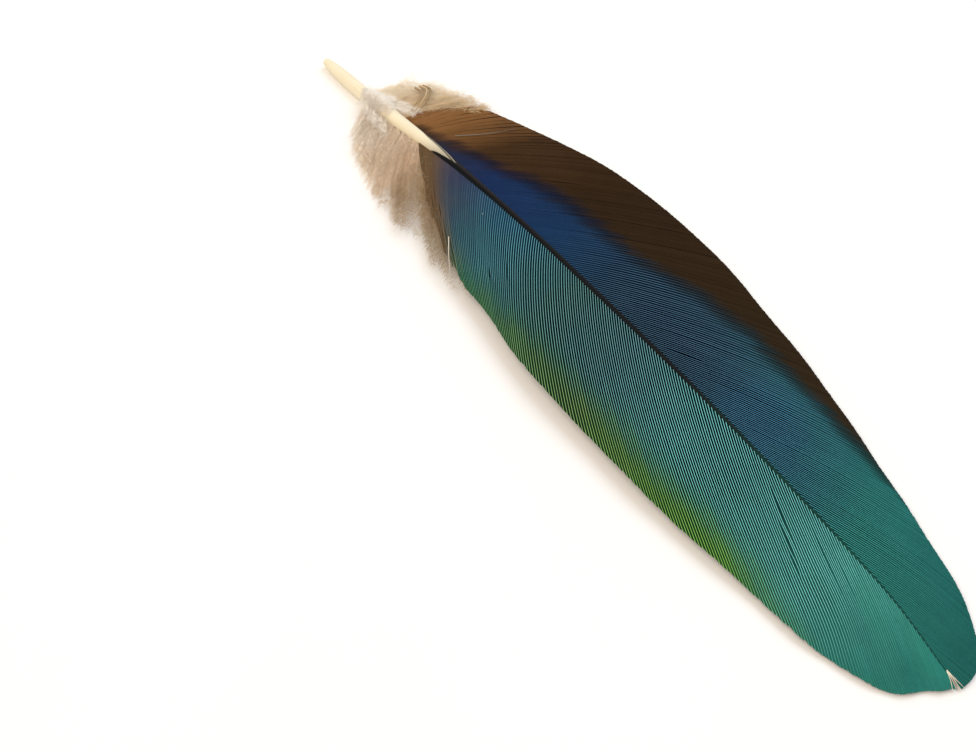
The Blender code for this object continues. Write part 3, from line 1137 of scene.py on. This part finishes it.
@dataclass
class Studio:
    """Pale floor, one soft key light, even warm surroundings and the camera."""

    camera_place: tuple[float, float, float] = (0.05301, -0.05109, 0.08336)
    camera_turn: tuple[float, float, float] = (36.96162, 0.29042, 54.85264)
    lens: float = 40.574
    floor_size: float = 1.6
    floor_colour: Colour = (0.9, 0.895, 0.89)
    key_power: float = 1.5
    lamp_distance: float = 0.6
    lamp_size: float = 0.4
    key_azimuth: float = 95.0
    key_elevation: float = 52.0
    key_colour: Colour = (0.62, 0.8, 1.0)
    sky: Colour = (0.66, 0.62, 0.585)
    fill_power: float = 1.8
    fill_azimuth: float = -105.0
    fill_elevation: float = 60.0
    fill_colour: Colour = (1.0, 0.86, 0.68)

    def floor(self) -> None:
        """Lays the floor."""
        half = self.floor_size / 2
        mesh = bpy.data.meshes.new("floor")
        corners = [(-half, -half, 0), (half, -half, 0), (half, half, 0), (-half, half, 0)]
        mesh.from_pydata(corners, [], [(0, 1, 2, 3)])
        desk = NodeDesk("floor_paper")
        light = desk.sway(1.0, desk.noise(40.0), 0.02)
        desk.put(desk.shader.inputs["Base Color"], desk.shaded(self.floor_colour, light))
        desk.shader.inputs["Roughness"].default_value = 0.9
        mesh.materials.append(desk.material)
        piece = bpy.data.objects.new("floor", mesh)
        bpy.context.scene.collection.objects.link(piece)

    def lamp(self, name: str, power: float, colour: Colour, azimuth: float,
             elevation: float) -> None:
        """Hangs one soft lamp that faces the feather.

        Args:
            name: The lamp's name.
            power: Its power in watts.
            colour: Its colour.
            azimuth: Its direction round the feather, in degrees.
            elevation: Its height over the floor, in degrees.
        """
        lamp = bpy.data.lights.new(name, "AREA")
        lamp.energy = power
        lamp.size = self.lamp_size
        lamp.color = colour
        piece = bpy.data.objects.new(name, lamp)
        azimuth, elevation = math.radians(azimuth), math.radians(elevation)
        piece.location = (
            self.lamp_distance * math.cos(elevation) * math.cos(azimuth),
            self.lamp_distance * math.cos(elevation) * math.sin(azimuth),
            self.lamp_distance * math.sin(elevation),
        )
        piece.rotation_euler = (math.pi / 2 - elevation, 0, azimuth + math.pi / 2)
        bpy.context.scene.collection.objects.link(piece)

    def light(self) -> None:
        """Sets up the lamps and the surroundings."""
        self.lamp("key", self.key_power, self.key_colour, self.key_azimuth,
                  self.key_elevation)
        self.lamp("fill", self.fill_power, self.fill_colour, self.fill_azimuth,
                  self.fill_elevation)
        world = bpy.data.worlds.new("studio")
        world.use_nodes = True
        world.node_tree.nodes["Background"].inputs["Color"].default_value = (*self.sky, 1)
        bpy.context.scene.world = world

    def camera(self) -> None:
        """Sets up the camera at the photograph's viewing angle."""
        data = bpy.data.cameras.new("camera")
        data.lens = self.lens
        data.sensor_width = 36.0
        data.clip_start = 0.001
        camera = bpy.data.objects.new("camera", data)
        camera.location = self.camera_place
        camera.rotation_euler = [math.radians(angle) for angle in self.camera_turn]
        bpy.context.scene.collection.objects.link(camera)
        bpy.context.scene.camera = camera
        bpy.context.scene.view_settings.view_transform = "Standard"

    def build(self) -> None:
        """Sets up the whole studio."""
        self.floor()
        self.light()
        self.camera()


OUTER_FINISH = VaneFinish(
    name="outer_vane_silk",
    near=(
        (0.22, srgb(108, 88, 78)),
        (0.29, srgb(62, 64, 88)),
        (0.38, srgb(40, 86, 118)),
        (0.52, srgb(46, 92, 92)),
        (0.7, srgb(54, 108, 110)),
        (0.9, srgb(58, 148, 134)),
        (1.0, srgb(44, 132, 120)),
    ),
    middle=(
        (0.2, srgb(110, 92, 78)),
        (0.32, srgb(60, 76, 90)),
        (0.4, srgb(46, 92, 98)),
        (0.6, srgb(56, 100, 88)),
        (0.8, srgb(54, 122, 112)),
        (1.0, srgb(44, 126, 117)),
    ),
    border=(
        (0.22, srgb(168, 138, 104)),
        (0.34, srgb(112, 104, 76)),
        (0.41, srgb(66, 108, 78)),
        (0.6, srgb(84, 109, 69)),
        (0.8, srgb(87, 130, 61)),
        (0.94, srgb(52, 122, 106)),
    ),
    border_softness=0.2,
    border_contrast=0.9,
    border_dip=0.0,
    contrast=greys(
        (0.3, 0.0), (0.42, 0.85), (0.55, 1.0), (0.76, 1.0), (0.86, 0.64), (0.95, 0.15),
        (1.0, 0.0),
    ),
    # Painted sheen: these ridge colours add a whitish highlight to the ramus colour.
    ridges_and_sheen=(
        (0.3, (0.03, 0.07, 0.14)),
        (0.42, (0.2, 0.56, 0.7)),
        (0.5, (0.26, 0.56, 0.54)),
        (0.6, (0.28, 0.62, 0.7)),
        (0.7, (0.34, 1.0, 1.0)),
        (0.86, (0.32, 1.0, 0.96)),
        (0.96, (0.05, 0.24, 0.2)),
    ),
)
INNER_FINISH = VaneFinish(
    name="inner_vane_silk",
    near=(
        # Painted shade: the dark brown first stop next to the shaft stands for the shadow where the brown
        # patch meets the shaft.
        (0.19, srgb(54, 44, 34)),
        (0.32, srgb(30, 46, 88)),
        (0.48, srgb(28, 60, 94)),
        (0.62, srgb(40, 66, 84)),
        (0.74, srgb(42, 84, 96)),
        (0.86, srgb(42, 120, 114)),
        (1.0, srgb(36, 104, 98)),
    ),
    middle=(
        # Painted shade: the dark brown first stop stands for the shadow where the brown patch meets the
        # shaft.
        (0.22, srgb(60, 46, 42)),
        (0.36, srgb(34, 50, 80)),
        (0.6, srgb(38, 64, 76)),
        (0.76, srgb(40, 88, 92)),
        (0.86, srgb(42, 114, 110)),
        (1.0, srgb(36, 102, 96)),
    ),
    border=(
        (0.19, srgb(140, 98, 58)),
        (0.27, srgb(70, 49, 30)),
        (0.4, srgb(53, 38, 24)),
        (0.75, srgb(52, 41, 27)),
        (1.0, srgb(44, 62, 56)),
    ),
    border_softness=0.13,
    border_contrast=0.1,
    border_dip=0.35,
    contrast=greys(
        (0.42, 0.0), (0.5, 0.74), (0.58, 1.0), (0.76, 1.0), (0.86, 0.7), (0.97, 0.0),
    ),
    # Painted sheen: these ridge colours add a whitish highlight to the ramus colour.
    ridges_and_sheen=(
        (0.42, (0.014, 0.045, 0.11)),
        (0.54, (0.11, 0.24, 0.37)),
        (0.64, (0.13, 0.28, 0.43)),
        (0.74, (0.15, 0.48, 0.76)),
        (0.85, (0.12, 0.68, 0.6)),
        (0.97, (0.027, 0.15, 0.125)),
    ),
    gap_gain=(0.0, 0.0, 0.03),
    outward_fade=0.75,
    downy=srgb(140, 98, 60),
)


OUTER_FLUFF = DownFinish(
    name="outer_down_fluff",
    colours=(
        (0.11, srgb(250, 243, 234)),
        (0.17, srgb(242, 226, 206)),
        (0.22, srgb(226, 200, 170)),
        (0.265, srgb(172, 142, 102)),
        (0.32, srgb(148, 122, 82)),
        (0.36, srgb(156, 136, 108)),
        (0.42, srgb(176, 166, 150)),
    ),
    tip=srgb(236, 222, 200),
    tip_share=0.22,
)
INNER_FLUFF = DownFinish(
    name="inner_down_fluff",
    colours=(
        (0.11, srgb(246, 232, 208)),
        (0.15, srgb(222, 196, 158)),
        (0.2, srgb(190, 158, 114)),
    ),
    tip=srgb(232, 214, 180),
    tip_share=0.3,
)
QUILL_FLUFF = DownFinish(
    name="quill_down_fluff",
    colours=(
        (0.1, srgb(252, 247, 238)),
        (0.17, srgb(242, 229, 212)),
    ),
    tip=srgb(252, 247, 240),
)
LOOSE = (
    LooseBarb(((0, 33.9, -6.3, 2.25), (0.5, 36.0, -7.7, 2.2), (1, 38.5, -9.2, 1.95)), 0.055, 0.85),
    LooseBarb(((0, 21.6, 3.0, 2.2), (0.45, 22.9, 6.0, 1.85), (1, 23.6, 10.1, 1.0)), 0.055, 0.24),
    LooseBarb(((0, 34.0, -2.1, 3.2), (1, 34.25, -2.2, 3.2)), 0.05, 1.0),
    LooseBarb(((0, 94.0, 0.06, 0.58), (0.5, 94.8, -0.2, 0.52), (1, 95.55, -0.6, 0.44)), 0.05, 1.0),
    LooseBarb(((0, 94.0, 0.08, 0.6), (0.5, 94.8, -0.05, 0.56), (1, 95.6, -0.3, 0.5)), 0.045, 0.9),
    LooseBarb(((0, 94.0, 0.1, 0.62), (0.5, 94.8, 0.08, 0.6), (1, 95.65, 0.0, 0.55)), 0.045, 1.0),
    LooseBarb(((0, 94.0, 0.12, 0.6), (0.5, 94.8, 0.22, 0.56), (1, 95.75, 0.38, 0.5)), 0.05, 1.0),
    # Short dark barbs fill the notch at the tip; their dark colour is partly the barbs' own and partly
    # painted shade in the notch.
    LooseBarb(((0, 93.6, -0.1, 0.5), (1, 95.3, -0.75, 0.34)), 0.07, 0.1),
    LooseBarb(((0, 93.8, -0.1, 0.5), (1, 95.4, -0.45, 0.34)), 0.07, 0.15),
    LooseBarb(((0, 94.0, 0.1, 0.5), (1, 95.5, -0.1, 0.34)), 0.07, 0.1),
    LooseBarb(((0, 94.0, 0.2, 0.5), (1, 95.6, 0.2, 0.34)), 0.07, 0.2),
)
# Curled wisps in the down: the pale curl is down, and the darker curls are painted shade standing for
# shading inside the fluff.
CURLS = (
    LooseBarb(((0, 11.4, 6.0, 1.2), (0.25, 12.5, 6.2, 1.35), (0.5, 13.5, 5.5, 1.5),
               (0.75, 14.6, 4.0, 1.65), (1, 15.4, 2.4, 1.7)), 0.14, 0.3),
    LooseBarb(((0, 11.3, 5.6, 1.3), (0.25, 12.3, 5.8, 1.45), (0.5, 13.3, 5.1, 1.6),
               (0.75, 14.3, 3.7, 1.7), (1, 15.1, 2.2, 1.7)), 0.15, 0.8),
    LooseBarb(((0, 11.2, 5.0, 1.3), (0.3, 12.3, 5.1, 1.45), (0.6, 13.3, 4.2, 1.6),
               (1, 14.6, 2.2, 1.7)), 0.13, 0.45),
)


def main() -> None:
    """Builds the feather and its studio."""
    logging.basicConfig(level=logging.INFO, format="%(message)s")
    Studio().build()
    Shaft().build()
    Vane(
        name="outer_vane",
        side=Side.OUTER,
        rows=(
            (19.4, 30.4, 6.0, 1.4),
            (23.0, 36.6, 8.0, 1.6),
            (31.0, 43.6, 8.75, 1.75),
            (38.0, 51.2, 9.8, 1.8),
            (48.5, 65.8, 9.87, 1.4),
            (61.5, 80.8, 8.7, 0.8),
            (68.0, 87.0, 7.95, 0.55),
            (74.0, 91.5, 6.25, 0.42),
            (80.0, 93.65, 4.5, 0.4),
            (86.5, 94.5, 2.3, 0.4),
            (91.5, 95.15, 1.1, 0.4),
            (93.7, 95.35, 0.12, 0.4),
        ),
        bend=0.72,
        finish=OUTER_FINISH,
        border_start=(
            (20.0, 0.75), (32.0, 0.85), (40.0, 0.82), (55.0, 0.72), (75.0, 0.76), (88.0, 1.0),
        ),
        partings=(
            Parting(33.4, 0.62, 0.72, 0.14),
            Parting(36.6, 0.4, 0.56, 0.09),
            Parting(71.6, 0.2, 0.52, 0.14),
            Parting(71.1, 0.4, 0.62, 0.16),
            Parting(70.6, 0.55, 0.68, 0.13),
            Parting(76.5, 0.22, 0.62, 0.1),
            Parting(79.4, 0.3, 0.55, 0.1),
            Parting(84.1, 0.62, 0.82, 0.09),
            Parting(85.8, 0.3, 0.4, 0.12),
        ),
        seed=11,
    ).build()
    Vane(
        name="inner_vane",
        side=Side.INNER,
        rows=(
            (15.2, 15.0, 5.6, 0.62),
            (17.0, 17.6, 8.9, 0.56),
            (19.0, 21.8, 10.9, 0.5),
            (24.0, 32.6, 14.4, 0.42),
            (31.0, 42.4, 15.6, 0.4),
            (38.0, 50.6, 15.45, 0.4),
            (44.5, 59.4, 14.0, 0.4),
            (51.0, 67.4, 12.3, 0.4),
            (63.0, 79.6, 8.75, 0.4),
            (74.0, 89.0, 5.82, 0.4),
            (80.0, 92.4, 4.4, 0.4),
            (86.0, 94.6, 2.8, 0.4),
            (91.5, 95.45, 1.4, 0.4),
            (93.7, 95.7, 0.12, 0.4),
        ),
        bend=0.95,
        finish=INNER_FINISH,
        border_start=(
            (16.0, 0.08), (20.0, 0.14), (26.0, 0.22), (35.0, 0.38), (47.0, 0.43), (58.0, 0.66), (70.0, 0.79),
            (80.0, 1.0), (90.0, 1.3),
        ),
        pitch=0.187,
        closest=0.41,
        widest=0.5,
        loose_until=(16.0, 19.0),
        ragged=0.02,
        blunt=0.97,
        partings=(
            Parting(28.6, 0.33, 0.68, 0.3),
            Parting(57.5, 0.06, 0.28, 0.1),
        ),
        seed=12,
    ).build()
    Down(
        name="outer_down",
        sides=(Side.OUTER,),
        rows=(
            (10.0, 11.6, 3.4),
            (12.0, 14.6, 5.8),
            (14.0, 18.4, 7.4),
            (16.5, 23.4, 8.5),
            (19.0, 28.6, 9.0),
            (21.0, 33.6, 9.1),
            (23.0, 38.4, 9.3),
            (25.0, 42.5, 9.55),
        ),
        finish=OUTER_FLUFF,
        floor=((10.0, 0.2), (18.0, 0.35), (20.0, 1.1), (21.0, 0.9), (25.0, 0.7)),
        depth=0.6,
        seed=21,
    ).build()
    Down(
        name="inner_down",
        sides=(Side.INNER,),
        rows=(
            (8.6, 8.8, 3.8),
            (10.4, 10.8, 6.8),
            (13.0, 14.6, 8.9),
            (14.6, 17.2, 9.8),
            (16.2, 19.8, 10.2),
        ),
        finish=INNER_FLUFF,
        strands=130,
        seed=22,
    ).build()
    Down(
        name="quill_down",
        sides=(Side.OUTER, Side.INNER),
        rows=(
            (8.6, 10.4, 1.8),
            (10.5, 13.4, 2.6),
            (12.5, 16.2, 2.8),
        ),
        finish=QUILL_FLUFF,
        strands=36,
        barbules=70,
        start=-0.55,
        floor=((0.0, 0.8), (90.0, 0.8)),
        depth=0.9,
        curl=0.5,
        barbule_length=1.1,
        seed=23,
    ).build()
    LooseBarbs(barbs=LOOSE).build()
    # The darker curls are painted shade in the down.
    LooseBarbs(
        barbs=CURLS,
        name="down_curls",
        finish=LooseFinish("down_curl_fluff_and_painted_shade", srgb(124, 96, 58), srgb(214, 188, 148)),
    ).build()


if __name__ == "__main__":
    main()
